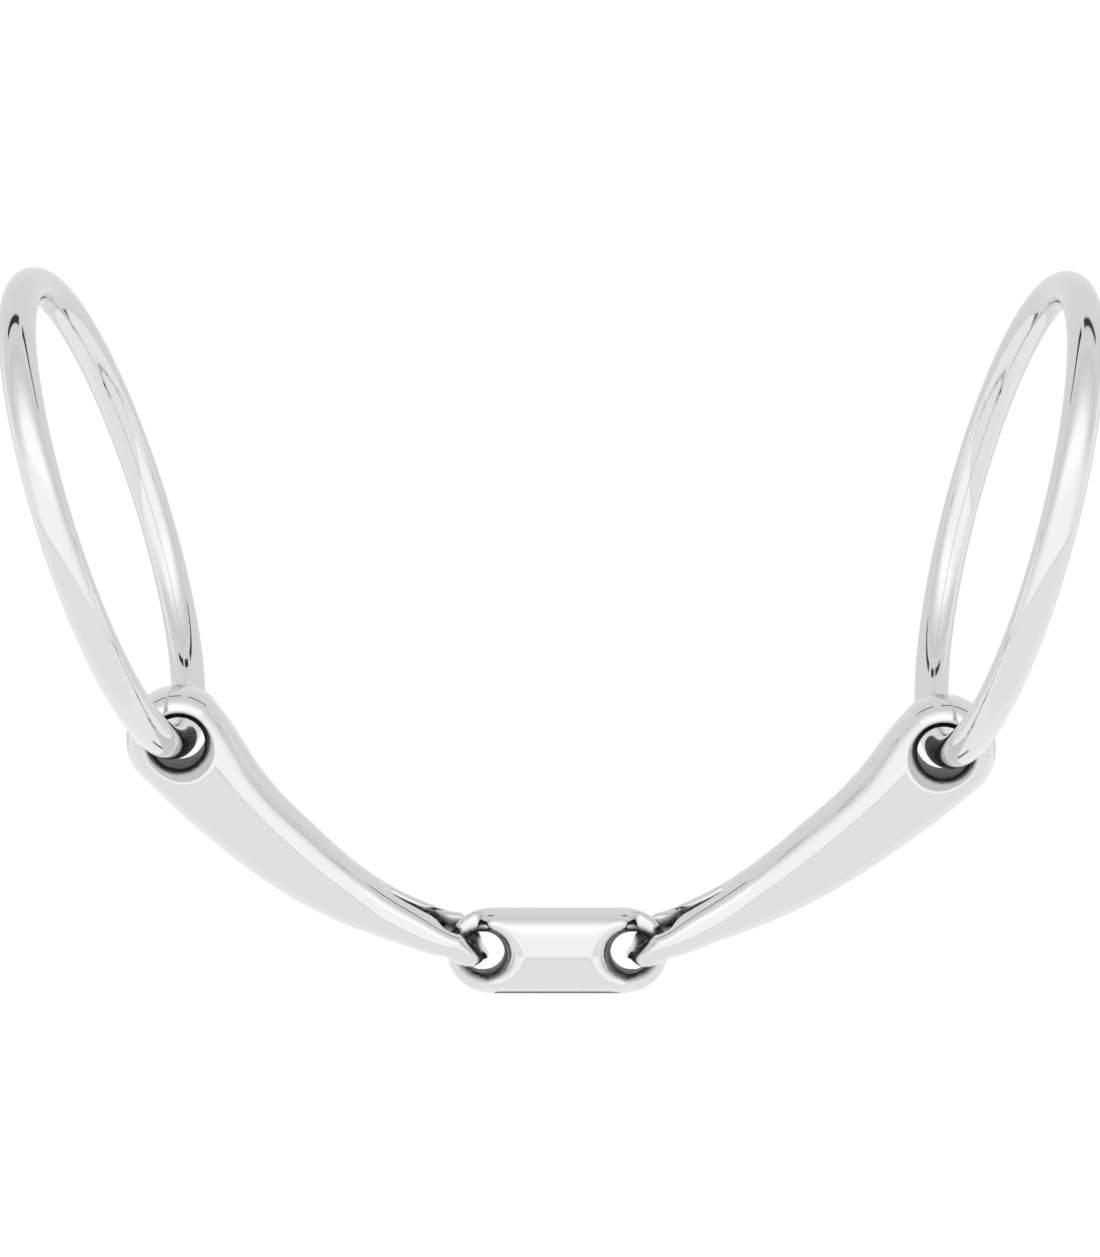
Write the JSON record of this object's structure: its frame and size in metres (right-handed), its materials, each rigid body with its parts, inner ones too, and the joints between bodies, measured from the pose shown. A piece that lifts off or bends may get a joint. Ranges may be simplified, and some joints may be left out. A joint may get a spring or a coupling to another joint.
{
  "type": "loose-ring snaffle bit",
  "caption": "Loose-ring snaffle bit: round-wire rings run through the bored butts of tapered, arched cannons that hook into a dished lozenge link.",
  "frame": {"origin": "middle of the link", "axes": "+X across the mouth towards the right ring, +Y from the link towards the rings, +Z along the cheeks, parallel to every hinge pin line"},
  "size_m": [0.1699, 0.1183, 0.0813],
  "materials": {
    "ring_steel": "mirror-polished stainless steel",
    "mouthpiece_steel": "mirror-polished cast stainless steel"
  },
  "bodies": {
    "centre_link": {"centre_link": "mouthpiece_steel"},
    "left_cannon": {"left_cannon": "mouthpiece_steel"},
    "right_cannon": {"right_cannon": "mouthpiece_steel"},
    "left_ring": {"left_ring": "ring_steel"},
    "right_ring": {"right_ring": "ring_steel"}
  },
  "joints": [
    {"name": "left_cannon_hinge", "type": "hinge", "parent": "centre_link", "child": "left_cannon", "pos_m": [-0.0125, 0, 0], "axis": [0, 0, 1], "range_deg": [-13.2, 86.8]},
    {"name": "right_cannon_hinge", "type": "hinge", "parent": "centre_link", "child": "right_cannon", "pos_m": [0.0125, 0, 0], "axis": [0, 0, 1], "range_deg": [-85, 15]},
    {"name": "left_ring_hinge", "type": "hinge", "parent": "left_cannon", "child": "left_ring", "pos_m": [-0.06076, 0.0361, 0.00633], "axis": [0, 0, 1], "range_deg": [-38.9, 111.1]},
    {"name": "right_ring_hinge", "type": "hinge", "parent": "right_cannon", "child": "right_ring", "pos_m": [0.06187, 0.03457, 0.00633], "axis": [0, 0, 1], "range_deg": [-115.6, 34.4]}
  ]
}
